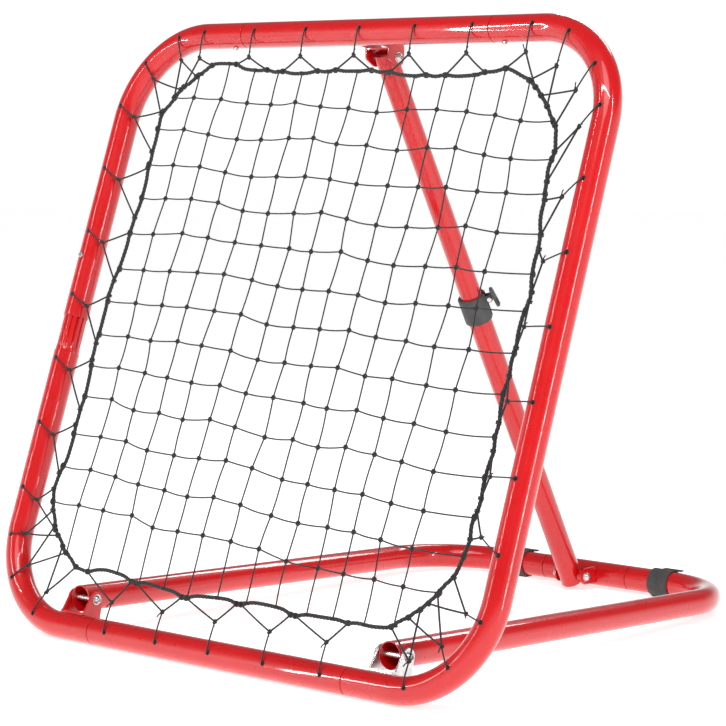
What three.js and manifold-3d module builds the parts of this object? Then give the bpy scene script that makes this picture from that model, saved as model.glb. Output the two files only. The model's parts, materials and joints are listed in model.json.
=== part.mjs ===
// Pitch back rebounder: a leaning square tube frame with a laced net, a U-shaped ground frame,
// and a telescopic strut with a clamp collar that sets the lean. Millimetres, +Z up, net facing -Y.
import * as THREE from 'three';
import { mergeVertices } from 'three/addons/utils/BufferGeometryUtils.js';
import Module from 'manifold-3d';

const wasm = await Module();
wasm.setup();
const { Manifold, Mesh: SolidMesh } = wasm;

// ---------------------------------------------------------------- driving dimensions
const TUBE_R = 17;               // outer radius of the frame and ground tubes
const TUBE_WALL = 1.5;
const SIDES = 16;                // facets round a tube
const GAP = 0.3;                 // between pieces that touch
const FRAME = 806;               // frame width and height, tube centre to tube centre
const FRAME_BEND = 120;
const LEAN = THREE.MathUtils.degToRad(20);
const TOP_JOINT = 209;           // where the top and bottom tubes meet the sides, from the middle
const BOTTOM_JOINT = 217;
const SPIGOT = 40;               // reduced tube end pushed inside its neighbour
const SPIGOT_R = 15.1;
const CRIMP_FROM = 358;          // exposed fluted tube end on the left side, heights up the frame
const CRIMP_TO = 406;

const ARM_X = 264;               // ground frame: half width, arm length, bend, rear joints
const ARM_LENGTH = 732;
const ARM_BEND = 120;
const REAR_JOINT = [-68, 78];
const FOOT_R = 19.7;
const FOOT_WIDTH = 32;
const FOOT_X = [-120, 134];
const REAR = new THREE.Vector3(0, 748, FOOT_R);      // rear tube centre
const FRONT_PIVOT = new THREE.Vector3(0, 26, 51);    // frame to ground frame
const REAR_PIVOT = new THREE.Vector3(0, 709, 21);    // strut to ground frame
const TOP_PIVOT = new THREE.Vector3(0, 312, 743);    // strut to frame

const STRUT_OUTER_R = 16;        // lower, outer tube of the strut
const STRUT_OUTER_WALL = 1.0;
const STRUT_INNER_R = 14.7;      // upper, inner tube
const STRUT_INNER_WALL = 1.2;
const STRUT_TAIL = 11;           // tube past the rear pivot
const STRUT_HEAD = 8;            // tube past the top pivot
const OVERLAP_FROM = 330;        // lower end of the inner tube, up the strut
const COLLAR = [428, 466];
const COLLAR_R = 19.2;
const COLLAR_TURN = THREE.MathUtils.degToRad(30);    // clamp lugs, turned from +X towards the back
const LEVER_PIN = [23.5, 457];   // from the strut axis, up the strut
const LEVER_LENGTH = 30;
const LEVER_FLARE = THREE.MathUtils.degToRad(8);
const REAR_SPACE = 8;            // sleeve between the strut and the right ear of the rear bracket

const BOLT_R = 3.9;
const NET_Y = -8;                // net plane, in front of the frame tube centres
const NET_HALF_X = 350;
const NET_Z = [66, 744];
const NET_CORNER = 62;
const NET_CELLS = 15;
const STRAND = 2;
const ROPE_R = 2.8;
const LACE_R = 1.2;
const LACE_LENGTH = 34;          // hole to knot
const LACE_HOLE_R = 2.6;

// ---------------------------------------------------------------- materials
const material = (color, roughness, metalness) => new THREE.MeshStandardMaterial({ color, roughness, metalness });
const RED = () => material(0xd8140f, 0.25, 0.1);
const ZINC = () => material(0xc3c6ca, 0.3, 0.9);
const BLACK = () => material(0x2b2b2c, 0.7, 0.0);
const CORD = () => material(0x232324, 0.9, 0.0);

// ---------------------------------------------------------------- solids
function solid(geometry) {
  const bare = geometry.clone();
  bare.deleteAttribute('normal');
  bare.deleteAttribute('uv');
  const merged = mergeVertices(bare, 1e-4);
  return new Manifold(new SolidMesh({
    numProp: 3,
    vertProperties: new Float32Array(merged.attributes.position.array),
    triVerts: new Uint32Array(merged.index.array),
  }));
}

function geometryOf(body) {
  const mesh = body.getMesh();
  const geometry = new THREE.BufferGeometry();
  geometry.setAttribute('position', new THREE.BufferAttribute(new Float32Array(mesh.vertProperties), 3));
  geometry.setIndex(new THREE.BufferAttribute(new Uint32Array(mesh.triVerts), 1));
  geometry.computeVertexNormals();
  return geometry;
}

function cut(body, tools) {
  return tools.reduce((left, tool) => left.subtract(tool), body);
}

function join(bodies) {
  return bodies.reduce((whole, body) => whole.add(body));
}

// A cylinder between two points.
function rod(from, to, radius, sides = 16) {
  const along = new THREE.Vector3().subVectors(to, from);
  const geometry = new THREE.CylinderGeometry(radius, radius, along.length(), sides);
  const turn = new THREE.Quaternion().setFromUnitVectors(new THREE.Vector3(0, 1, 0), along.clone().normalize());
  geometry.applyQuaternion(turn);
  geometry.translate(...new THREE.Vector3().addVectors(from, to).multiplyScalar(0.5).toArray());
  return solid(geometry);
}

const at = (x, y, z) => new THREE.Vector3(x, y, z);
const rodX = (x0, x1, y, z, radius, sides) => rod(at(x0, y, z), at(x1, y, z), radius, sides);

// A box given by its lowest and highest corners.
function block(low, high) {
  const size = high.map((value, i) => value - low[i]);
  const geometry = new THREE.BoxGeometry(...size);
  geometry.translate(...low.map((value, i) => value + size[i] / 2));
  return solid(geometry);
}

// ---------------------------------------------------------------- tubes
function circlePoints(radius, sides = SIDES) {
  return Array.from({ length: sides }, (_, i) => {
    const angle = (i + 0.5) * 2 * Math.PI / sides;
    return new THREE.Vector2(radius * Math.cos(angle), radius * Math.sin(angle));
  });
}

function ringShape(outerPoints, innerRadius) {
  const shape = new THREE.Shape(outerPoints);
  shape.holes.push(new THREE.Path(circlePoints(innerRadius)));
  return shape;
}

// A flat centreline of straights and arcs, whose stations are used as they are by ExtrudeGeometry.
class TubePath extends THREE.Curve {
  constructor(stations, toSpace, planeNormal) {
    super();
    this.points = stations.map(([u, v]) => toSpace(u, v));
    this.tangents = stations.map(([, , du, dv]) => toSpace(du, dv).normalize());
    this.planeNormal = planeNormal;
  }
  getPoint(t) {
    return this.points[Math.round(t * (this.points.length - 1))];
  }
  getPointAt(u) {
    return this.getPoint(u);
  }
  getSpacedPoints() {
    return this.points;
  }
  computeFrenetFrames() {
    const normals = this.points.map(() => this.planeNormal.clone());
    const binormals = this.tangents.map((tangent) => new THREE.Vector3().crossVectors(tangent, this.planeNormal));
    return { tangents: this.tangents, normals, binormals };
  }
}

// Stations [u, v, du, dv] from start to end round corners {centre, radius, from, to} in degrees.
function stationsOf(start, corners, end) {
  const arcs = corners.flatMap(({ centre, radius, from, to }) => {
    const steps = Math.round(Math.abs(to - from) / 11.25);
    const sense = Math.sign(to - from);
    return Array.from({ length: steps + 1 }, (_, i) => {
      const angle = THREE.MathUtils.degToRad(from + (to - from) * i / steps);
      const c = Math.cos(angle);
      const s = Math.sin(angle);
      return [centre[0] + radius * c, centre[1] + radius * s, -s * sense, c * sense];
    });
  });
  const first = arcs[0];
  const last = arcs[arcs.length - 1];
  return [[...start, first[2], first[3]], ...arcs, [...end, last[2], last[3]]];
}

function bentTube(stations, plane) {
  const upright = plane === 'xz';
  const toSpace = upright ? (u, v) => at(u, 0, v) : (u, v) => at(u, v, 0);
  const normal = upright ? at(0, 1, 0) : at(0, 0, 1);
  const path = new TubePath(stations, toSpace, normal);
  const shape = ringShape(circlePoints(TUBE_R), TUBE_R - TUBE_WALL);
  return solid(new THREE.ExtrudeGeometry(shape, { steps: stations.length - 1, extrudePath: path }));
}

// A closed profile [radius, height] turned about Z.
function turned(profile, sides = SIDES) {
  const points = [...profile, profile[0]].map(([r, z]) => new THREE.Vector2(r, z));
  const geometry = new THREE.LatheGeometry(points, sides);
  geometry.rotateX(Math.PI / 2);
  return solid(geometry);
}

function straightTube(radius, wall, from, to) {
  return turned([[radius - wall, from], [radius, from], [radius, to], [radius - wall, to]]);
}

// A straight tube along X with a reduced end that goes into the tube on each side.
function spigotTube(from, to) {
  const inner = TUBE_R - TUBE_WALL;
  const bore = SPIGOT_R - TUBE_WALL;
  const a = from + GAP;
  const b = to - GAP;
  const profile = [
    [bore, a - SPIGOT], [SPIGOT_R, a - SPIGOT], [SPIGOT_R, a], [TUBE_R, a],
    [TUBE_R, b], [SPIGOT_R, b], [SPIGOT_R, b + SPIGOT], [bore, b + SPIGOT],
    [bore, b - 3], [inner, b - 6], [inner, a + 6], [bore, a + 3],
  ];
  return turned(profile).rotate([0, 90, 0]);
}

// ---------------------------------------------------------------- lacing holes, in frame coordinates
const HALF = FRAME / 2;
const CORNER = HALF - FRAME_BEND;
const evenly = (count, from, to) => Array.from({ length: count }, (_, i) => from + (to - from) * i / (count - 1));

// Each lacing place has its hole (x, z) and the direction towards the net.
function lacingPlaces() {
  const places = [];
  evenly(7, -276, 276).forEach((x) => places.push({ x, z: FRAME, inward: [0, -1] }));
  evenly(5, -184, 184).forEach((x) => places.push({ x, z: 0, inward: [0, 1] }));
  evenly(7, 168, 702).forEach((z) => {
    places.push({ x: -HALF, z, inward: [1, 0] });
    places.push({ x: HALF, z, inward: [-1, 0] });
  });
  const corner = (sideX, z, angles, up) => angles.forEach((degrees) => {
    const angle = THREE.MathUtils.degToRad(degrees);
    const out = [sideX * Math.sin(angle), up * Math.cos(angle)];
    const x = sideX * CORNER + FRAME_BEND * out[0];
    places.push({ x, z: z + FRAME_BEND * out[1], inward: [-out[0], -out[1]] });
  });
  corner(-1, FRAME - FRAME_BEND, [19, 50], 1);
  corner(1, FRAME - FRAME_BEND, [25, 56], 1);
  corner(-1, FRAME_BEND, [19, 53, 82], -1);
  corner(1, FRAME_BEND, [14, 45, 76], -1);
  return places;
}

const PLACES = lacingPlaces();

const holeTools = PLACES.map(({ x, z }) => rod(at(x, -TUBE_R - 4, z), at(x, -TUBE_R + 6, z), LACE_HOLE_R, 6));

// Small joint screws: hole place, and the direction its head faces.
const SCREWS = {
  top_left_screw: { from: at(-TOP_JOINT - 18, 0, FRAME), out: at(0, 0, -1) },
  top_right_screw: { from: at(TOP_JOINT + 18, 0, FRAME), out: at(0, 0, -1) },
  left_button: { from: at(-HALF, 0, 489), out: at(0, -1, 0) },
};

function alongScrew({ from, out }, near, far, radius) {
  const start = from.clone().addScaledVector(out, near);
  const end = from.clone().addScaledVector(out, far);
  return rod(start, end, radius, 12);
}

const screwHoles = Object.values(SCREWS).map((screw) => alongScrew(screw, 8, TUBE_R + 6, 2.8));

// ---------------------------------------------------------------- main frame
function frameTubes() {
  const upperLeft = bentTube(stationsOf([-TOP_JOINT, FRAME],
    [{ centre: [-CORNER, FRAME - FRAME_BEND], radius: FRAME_BEND, from: 90, to: 180 }], [-HALF, CRIMP_TO]), 'xz');
  const lowerLeft = bentTube(stationsOf([-HALF, CRIMP_FROM],
    [{ centre: [-CORNER, FRAME_BEND], radius: FRAME_BEND, from: 180, to: 270 }], [-BOTTOM_JOINT, 0]), 'xz');
  const right = bentTube(stationsOf([TOP_JOINT, FRAME],
    [{ centre: [CORNER, FRAME - FRAME_BEND], radius: FRAME_BEND, from: 90, to: 0 },
      { centre: [CORNER, FRAME_BEND], radius: FRAME_BEND, from: 0, to: -90 }], [BOTTOM_JOINT, 0]), 'xz');
  const tubes = {
    top_tube: spigotTube(-TOP_JOINT, TOP_JOINT).translate([0, 0, FRAME]),
    bottom_tube: spigotTube(-BOTTOM_JOINT, BOTTOM_JOINT),
    upper_left_tube: upperLeft,
    lower_left_tube: lowerLeft.add(crimpedEnd()),
    right_side_tube: right,
  };
  const tools = [...holeTools, ...screwHoles];
  return Object.fromEntries(Object.entries(tubes).map(([name, tube]) => [name, cut(tube, tools)]));
}

// The fluted tube end between the two left tubes, on a short cone that joins it to the lower one.
function crimpedEnd() {
  const flutes = Array.from({ length: 36 }, (_, i) => {
    const angle = i * 2 * Math.PI / 36;
    const radius = i % 3 === 0 ? SPIGOT_R - 1.3 : SPIGOT_R;
    return new THREE.Vector2(radius * Math.cos(angle), radius * Math.sin(angle));
  });
  const inner = SPIGOT_R - 1.3 - TUBE_WALL;
  const length = CRIMP_TO + 22 - CRIMP_FROM;
  const sleeve = new THREE.ExtrudeGeometry(ringShape(flutes, inner), { depth: length, bevelEnabled: false });
  const cone = turned([[inner, -4], [TUBE_R - 0.8, -4], [TUBE_R, 0], [SPIGOT_R - 1.4, 4], [inner, 4]]);
  return solid(sleeve).add(cone).translate([-HALF, 0, CRIMP_FROM]);
}

// ---------------------------------------------------------------- bolts
// A socket-head bolt along X with its head on the +X side.
function bolt(headX, endX) {
  const head = 6.4;
  const profile = [[0, endX], [BOLT_R - 0.6, endX], [BOLT_R, endX + 0.8], [BOLT_R, headX], [head, headX],
    [head, headX + 3.6], [head - 1.6, headX + 5.2], [0, headX + 5.2]];
  const body = turned(profile, 12).rotate([0, 90, 0]);
  const socket = new THREE.CylinderGeometry(2.9, 2.9, 6, 6);
  socket.rotateZ(Math.PI / 2);
  socket.translate(headX + 5.2, 0, 0);
  return body.subtract(solid(socket));
}

function nut(fromX, toX) {
  const hex = new THREE.CylinderGeometry(7.3, 7.3, toX - fromX, 6);
  hex.rotateZ(Math.PI / 2);
  hex.translate((fromX + toX) / 2, 0, 0);
  return solid(hex).subtract(rodX(fromX - 1, toX + 1, 0, 0, BOLT_R + GAP, 12));
}

// ---------------------------------------------------------------- brackets
// An ear in the YZ plane between x0 and x1, from outline points (y, z), with a bolt hole at the origin.
function ear(outline, x0, x1, holeR) {
  const geometry = new THREE.ExtrudeGeometry(new THREE.Shape(outline), { depth: x1 - x0, bevelEnabled: false });
  geometry.applyMatrix4(new THREE.Matrix4().makeBasis(at(0, 1, 0), at(0, 0, 1), at(1, 0, 0)));
  geometry.translate(x0, 0, 0);
  return solid(geometry).subtract(rodX(x0 - 1, x1 + 1, 0, 0, holeR, 12));
}

function arcPoints(cy, cz, radius, from, to, steps) {
  return evenly(steps + 1, from, to).map((degrees) => {
    const angle = THREE.MathUtils.degToRad(degrees);
    return new THREE.Vector2(cy + radius * Math.cos(angle), cz + radius * Math.sin(angle));
  });
}

// Saddle bracket on the bottom tube; the pivot is the origin and the tube centre is at (tubeY, tubeZ).
function lowerBracket(tubeY, tubeZ) {
  const foot = tubeZ + 13;
  const outline = [new THREE.Vector2(tubeY - 5, foot), new THREE.Vector2(tubeY + 27, foot),
    ...arcPoints(0, 0, 10.5, 0, 180, 12)];
  const inner = TUBE_R + 1;
  const outer = inner + 3;
  const ears = [[-outer, -inner], [inner, outer]].map(([x0, x1]) => ear(outline, x0, x1, BOLT_R + GAP));
  const web = block([-outer + 0.5, tubeY - 5, foot], [outer - 0.5, tubeY + 27, tubeZ + TUBE_R + 3]);
  const whole = join([web, ...ears]);
  return whole.subtract(rodX(-outer - 1, outer + 1, tubeY, tubeZ, TUBE_R + GAP, 32));
}

// U-shaped bracket behind the top tube, its ears and its web level when the frame leans at rest.
function topBracket(tubeY, tubeZ) {
  const level = (y, z) => new THREE.Vector2(y, z).rotateAround(new THREE.Vector2(), LEAN);
  const rounded = arcPoints(0, 0, 11.5, 245, 360, 8).map(({ x, y }) => level(x, y));
  const outline = [level(-18, -2), ...rounded, level(11.5, 14), level(-14, 42), level(-30, 42), level(-30, 15),
    level(-18, 12.5)];
  const inner = STRUT_INNER_R + 3;
  const outer = inner + 2.5;
  const ears = [[-outer, -inner], [inner, outer]].map(([x0, x1]) => ear(outline, x0, x1, BOLT_R + GAP));
  const web = block([-outer + 0.5, -18, 10], [outer - 0.5, -7, 12.5]).rotate([THREE.MathUtils.radToDeg(LEAN), 0, 0]);
  const whole = join([web, ...ears]);
  return whole.subtract(rodX(-outer - 1, outer + 1, tubeY, tubeZ, TUBE_R + GAP, 32));
}

// Ears on the front of the rear tube, joined by a thin saddle; the pivot is the origin. The right ear stands off.
function rearBracket(tubeY, tubeZ) {
  const back = tubeY - 6;
  const outline = [...arcPoints(0, 0, 11.5, 90, 270, 12), new THREE.Vector2(back, -11.5), new THREE.Vector2(back, 11.5)];
  const left = -STRUT_OUTER_R - 1;
  const right = STRUT_OUTER_R + 1 + REAR_SPACE;
  const ears = [[left - 2.5, left], [right, right + 2.5]].map(([x0, x1]) => ear(outline, x0, x1, BOLT_R + GAP));
  const shell = rodX(left - 2, right + 2, tubeY, tubeZ, TUBE_R + 1.3, 48)
    .intersect(block([left - 2, tubeY - 30, -11.5], [right + 2, back, 11.5]));
  const whole = join([shell, ...ears]);
  return whole.subtract(rodX(left - 4, right + 4, tubeY, tubeZ, TUBE_R + GAP, 32));
}

// ---------------------------------------------------------------- net and lacing, in frame coordinates
function roundedOutline(halfX, z0, z1, radius, steps) {
  const corners = [[halfX, z1, 0], [-halfX, z1, 90], [-halfX, z0, 180], [halfX, z0, 270]];
  return corners.flatMap(([x, z, from]) => {
    const cx = x - Math.sign(x) * radius;
    const cz = z === z1 ? z - radius : z + radius;
    return arcPoints(cx, cz, radius, from, from + 90, steps);
  });
}

function netPlate(inset, steps) {
  const outline = roundedOutline(NET_HALF_X - inset, NET_Z[0] + inset, NET_Z[1] - inset, NET_CORNER - inset, steps);
  const geometry = new THREE.ExtrudeGeometry(new THREE.Shape(outline), { depth: STRAND, bevelEnabled: false });
  geometry.rotateX(Math.PI / 2);
  geometry.translate(0, NET_Y + STRAND / 2, 0);
  return solid(geometry);
}

function netMesh() {
  const inset = ROPE_R + 3 * GAP;
  const plate = netPlate(inset, 5);
  const rim = plate.subtract(netPlate(inset + STRAND, 5).scale([1, 3, 1]).translate([0, 2 * -NET_Y, 0]));
  const lines = evenly(NET_CELLS + 1, 0, 1).slice(1, -1);
  const strands = lines.flatMap((share) => {
    const x = -NET_HALF_X + 2 * NET_HALF_X * share;
    const z = NET_Z[0] + (NET_Z[1] - NET_Z[0]) * share;
    return [
      block([x - STRAND / 2, NET_Y - STRAND / 2, NET_Z[0] - 1], [x + STRAND / 2, NET_Y + STRAND / 2, NET_Z[1] + 1]),
      block([-NET_HALF_X - 1, NET_Y - STRAND / 2, z - STRAND / 2], [NET_HALF_X + 1, NET_Y + STRAND / 2, z + STRAND / 2]),
    ];
  });
  return join(strands).intersect(plate).add(rim);
}

// The closed centreline of the border rope.
function ropeLoop() {
  const corners = [[1, NET_Z[1], 0], [-1, NET_Z[1], 90], [-1, NET_Z[0], 180], [1, NET_Z[0], 270]];
  const stations = corners.flatMap(([sideX, z, from]) => {
    const cx = sideX * (NET_HALF_X - NET_CORNER);
    const cz = z + (z === NET_Z[1] ? -NET_CORNER : NET_CORNER);
    return evenly(7, from, from + 90).map((degrees) => {
      const angle = THREE.MathUtils.degToRad(degrees);
      const c = Math.cos(angle);
      const s = Math.sin(angle);
      return [cx + NET_CORNER * c, cz + NET_CORNER * s, -s, c];
    });
  });
  return new TubePath([...stations, stations[0]], (u, v) => at(u, 0, v), at(0, 1, 0));
}

// A forked lace in the net plane: two legs that spread from the knot to the rope.
function fork(reach, spread) {
  const points = [[-1.5, 0.9], [reach, spread + 1.2], [reach + 0.8, spread - 1], [2.4, 0],
    [reach + 0.8, 1 - spread], [reach, -spread - 1.2], [-1.5, -0.9]];
  const shape = new THREE.Shape(points.map(([along, across]) => new THREE.Vector2(along, across)));
  const geometry = new THREE.ExtrudeGeometry(shape, { depth: STRAND, bevelEnabled: false });
  geometry.rotateX(Math.PI / 2);
  geometry.translate(0, STRAND / 2, 0);
  return geometry;
}

// The border rope, with a stem through each hole, a lace to its knot and a fork to the rope.
function borderLacing() {
  const loop = ropeLoop();
  const rope = solid(new THREE.TubeGeometry(loop, loop.points.length - 1, ROPE_R, 5, true)).translate([0, NET_Y, 0]);
  const laces = PLACES.flatMap(({ x, z, inward: [ix, iz] }) => {
    const hole = at(x, -TUBE_R - 3, z);
    const knot = at(x + LACE_LENGTH * ix, NET_Y, z + LACE_LENGTH * iz);
    const straight = ix === 0 || iz === 0;
    const spot = nearestOnLoop(loop.points, knot.clone().setY(0));
    const reach = spot.distanceTo(knot.clone().setY(0)) + (straight ? 0 : 2);
    const legs = fork(reach, straight ? 24 : 16);
    legs.rotateY(-Math.atan2(iz, ix));
    legs.translate(knot.x, knot.y, knot.z);
    const lap = hole.clone().sub(knot).normalize().multiplyScalar(LACE_R);
    const stem = rod(at(x, -TUBE_R + 8, z), at(x, -TUBE_R - 3 - LACE_R, z), LACE_R, 4);
    return [stem, rod(hole.clone().add(lap), knot.clone().sub(lap), LACE_R, 4), solid(legs)];
  });
  return join([rope, ...laces]);
}

function nearestOnLoop(points, target) {
  const spots = points.slice(1).map((point, i) => {
    const segment = new THREE.Line3(points[i], point);
    return segment.closestPointToPoint(target, true, new THREE.Vector3());
  });
  return spots.reduce((best, spot) => (spot.distanceTo(target) < best.distanceTo(target) ? spot : best));
}

// ---------------------------------------------------------------- ground frame
// In ground frame coordinates the rear tube centre is the origin and the arms run along -Y.
function groundTubes() {
  const inner = ARM_X - ARM_BEND;
  const left = bentTube(stationsOf([-ARM_X, -ARM_LENGTH],
    [{ centre: [-inner, -ARM_BEND], radius: ARM_BEND, from: 180, to: 90 }], [REAR_JOINT[0], 0]), 'xy');
  const right = bentTube(stationsOf([ARM_X, -ARM_LENGTH],
    [{ centre: [inner, -ARM_BEND], radius: ARM_BEND, from: 0, to: 90 }], [REAR_JOINT[1], 0]), 'xy');
  return { ground_left_tube: left, ground_right_tube: right, ground_rear_tube: spigotTube(...REAR_JOINT) };
}

// A rubber band foot with a flat sole and the free tail of its strap.
function foot() {
  const half = FOOT_WIDTH / 2;
  const band = straightTube(FOOT_R, FOOT_R - TUBE_R - GAP, -half, half).rotate([0, 90, 0]);
  const bore = rodX(-half - 1, half + 20, 0, 0, TUBE_R + 2 * GAP, 32);
  const sole = block([-half, -7, -FOOT_R], [half, 7, -TUBE_R + 2]);
  const tail = block([-4, 3, TUBE_R + 0.8], [half + 10, 10, TUBE_R + 2.6]);
  return join([band, sole, tail]).subtract(bore);
}

// ---------------------------------------------------------------- strut
// In strut coordinates the rear pivot is the origin, Z runs up the strut and Y towards the back.
const STRUT_LENGTH = TOP_PIVOT.distanceTo(REAR_PIVOT);
const crossHole = (z, radius) => rodX(-40, 40, 0, z, radius, 12);

function strutLower() {
  const tube = straightTube(STRUT_OUTER_R, STRUT_OUTER_WALL, -STRUT_TAIL, COLLAR[1] - 5);
  return tube.subtract(crossHole(0, BOLT_R + GAP));
}

function strutUpper() {
  const tube = straightTube(STRUT_INNER_R, STRUT_INNER_WALL, OVERLAP_FROM, STRUT_LENGTH + STRUT_HEAD);
  return tube.subtract(crossHole(STRUT_LENGTH, BOLT_R + 4.6));
}

// The split clamp ring with its two lugs, the lugs along +X before the whole is turned.
function collar() {
  const [low, high] = COLLAR;
  const bore = STRUT_OUTER_R + GAP;
  const lip = STRUT_INNER_R + 0.5;
  const ring = turned([[bore, low], [COLLAR_R - 1.2, low], [COLLAR_R, low + 1.2], [COLLAR_R, high - 1.2],
    [COLLAR_R - 1.2, high], [lip, high], [lip, high - 4], [bore, high - 4]], 24);
  const [pinX, pinZ] = LEVER_PIN;
  const lugs = [-1, 1].map((side) => {
    const y0 = side > 0 ? 3 : -6;
    const cheek = block([COLLAR_R - 3, y0, pinZ - 4.5], [pinX, y0 + 3, pinZ + 4.5]);
    return cheek.add(rod(at(pinX, y0, pinZ), at(pinX, y0 + 3, pinZ), 4.5, 20));
  });
  const slit = block([0, -3, low - 1], [pinX + 10, 3, high + 1]);
  const pinHole = rod(at(pinX, -10, pinZ), at(pinX, 10, pinZ), 2.3, 16);
  const keepBore = rod(at(0, 0, low - 1), at(0, 0, high - 4), bore, 24);
  return cut(join([ring, ...lugs]), [slit, pinHole, keepBore]);
}

function clampPin() {
  const [x, z] = LEVER_PIN;
  const shank = rod(at(x, -7.5, z), at(x, 7.5, z), 2, 16);
  const heads = [[-7.5, -6.3], [6.3, 7.5]].map(([y0, y1]) => rod(at(x, y0, z), at(x, y1, z), 3.2, 16));
  return join([shank, ...heads]);
}

// The thumb plate lies along the strut, its free lower end flared away from the collar.
function lever() {
  const [x, z] = LEVER_PIN;
  const half = LEVER_LENGTH / 2;
  const hub = rod(at(x, -2.6, z), at(x, 2.6, z), 4.1, 20);
  const outline = [...arcPoints(0, -half + 6, 6, 180, 360, 10), ...arcPoints(0, half - 6, 6, 0, 180, 10)];
  const plate = new THREE.ExtrudeGeometry(new THREE.Shape(outline), { depth: 3, bevelEnabled: false });
  plate.applyMatrix4(new THREE.Matrix4().makeBasis(at(0, 1, 0), at(0, 0, 1), at(1, 0, 0)));
  plate.rotateY(-LEVER_FLARE);
  plate.translate(x + 4.9, 0, z - 1);
  const web = block([x + 2.5, -2.6, z - 3], [x + 6, 2.6, z + 2]);
  return join([hub, web, solid(plate)]).subtract(rod(at(x, -10, z), at(x, 10, z), 2.3, 16));
}

// ---------------------------------------------------------------- assembly
const model = new THREE.Group();

function addNode(group, name, body, finish) {
  const mesh = new THREE.Mesh(geometryOf(body), finish);
  mesh.name = name;
  group.add(mesh);
}

const leaning = new THREE.Group();
leaning.position.set(0, 0, TUBE_R);
leaning.rotation.x = -LEAN;

const ground = new THREE.Group();
ground.position.copy(REAR);
ground.rotation.x = -Math.asin((FRONT_PIVOT.z - REAR.z) / (REAR.y - FRONT_PIVOT.y));

const strut = new THREE.Group();
strut.position.copy(REAR_PIVOT);
strut.rotation.x = Math.atan2(REAR_PIVOT.y - TOP_PIVOT.y, TOP_PIVOT.z - REAR_PIVOT.z);

const clamp = new THREE.Group();
clamp.rotation.z = COLLAR_TURN;
strut.add(clamp);
model.add(leaning, ground, strut);

for (const group of [leaning, ground]) {
  group.updateMatrixWorld(true);
}

for (const [name, tube] of Object.entries(frameTubes())) {
  addNode(leaning, name, tube, RED());
}
for (const [name, screw] of Object.entries(SCREWS)) {
  const shank = alongScrew(screw, 11, TUBE_R + 1.5, 2.4);
  addNode(leaning, name, shank.add(alongScrew(screw, TUBE_R + 0.6, TUBE_R + 3.5, 3.6)), ZINC());
}
addNode(leaning, 'net_mesh', netMesh(), CORD());
addNode(leaning, 'border_lacing', borderLacing(), CORD());

// Brackets, bolts and nuts of the pivots on the leaning frame, placed from the pivot outwards.
function pivotGroup(parent, x, pivot) {
  const group = new THREE.Group();
  const place = parent.worldToLocal(pivot.clone().setX(0));
  group.position.set(x, place.y, place.z);
  parent.add(group);
  return group;
}

for (const [side, x, finish] of [['left', -ARM_X, RED()], ['right', ARM_X, ZINC()]]) {
  const group = pivotGroup(leaning, x, FRONT_PIVOT);
  const { y, z } = group.position;
  addNode(group, `${side}_bracket`, lowerBracket(-y, -z), finish);
  addNode(group, `${side}_pivot_bolt`, bolt(TUBE_R + 4 + GAP, -TUBE_R - 4 - 9), ZINC());
  addNode(group, `${side}_pivot_nut`, nut(-TUBE_R - 4 - GAP - 6, -TUBE_R - 4 - GAP), ZINC());
}

const topGroup = pivotGroup(leaning, 0, TOP_PIVOT);
const topEar = STRUT_INNER_R + 5.5;
addNode(topGroup, 'top_bracket', topBracket(-topGroup.position.y, FRAME - topGroup.position.z), RED());
addNode(topGroup, 'top_pivot_bolt', bolt(topEar + GAP, -topEar - 9), ZINC());
addNode(topGroup, 'top_pivot_nut', nut(-topEar - GAP - 6, -topEar - GAP), ZINC());

// The arms are drilled for the bolts of the two front pivots.
const armHole = ground.worldToLocal(FRONT_PIVOT.clone());
const armDrill = rodX(-ARM_X - 40, ARM_X + 40, armHole.y, armHole.z, BOLT_R + GAP, 12);
for (const [name, tube] of Object.entries(groundTubes())) {
  addNode(ground, name, tube.subtract(armDrill), RED());
}

const levelGround = new THREE.Group();
levelGround.position.copy(REAR);
model.add(levelGround);
['foot_left', 'foot_right'].forEach((name, i) => {
  addNode(levelGround, name, foot().translate([FOOT_X[i], 0, 0]), BLACK());
});

const rearGroup = new THREE.Group();
rearGroup.position.copy(REAR_PIVOT);
model.add(rearGroup);
const rearEar = STRUT_OUTER_R + 3.5;
const sleeve = [STRUT_OUTER_R + 0.6, STRUT_OUTER_R + 1 + REAR_SPACE - GAP];
addNode(rearGroup, 'rear_bracket', rearBracket(REAR.y - REAR_PIVOT.y, REAR.z - REAR_PIVOT.z), RED());
addNode(rearGroup, 'rear_pivot_bolt', bolt(rearEar + REAR_SPACE + GAP, -rearEar - 9), ZINC());
const sleeveRod = rodX(...sleeve, 0, 0, 7, 24).subtract(rodX(sleeve[0] - 1, sleeve[1] + 1, 0, 0, BOLT_R + GAP, 12));
addNode(rearGroup, 'rear_sleeve', sleeveRod, RED());
addNode(rearGroup, 'rear_pivot_nut', nut(-rearEar - GAP - 6, -rearEar - GAP), ZINC());

addNode(strut, 'strut_lower_tube', strutLower(), RED());
addNode(strut, 'strut_upper_tube', strutUpper(), RED());
addNode(clamp, 'clamp_collar', collar(), BLACK());
addNode(clamp, 'clamp_pin', clampPin(), ZINC());
addNode(clamp, 'clamp_lever', lever(), BLACK());

// The origin is the middle of the footprint, on the ground.
model.updateMatrixWorld(true);
const bounds = new THREE.Box3().setFromObject(model, true);
model.position.y = -(bounds.min.y + bounds.max.y) / 2;
model.position.z = -bounds.min.z;
model.updateMatrixWorld(true);

export default model;
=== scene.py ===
import json
import math
import random

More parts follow.
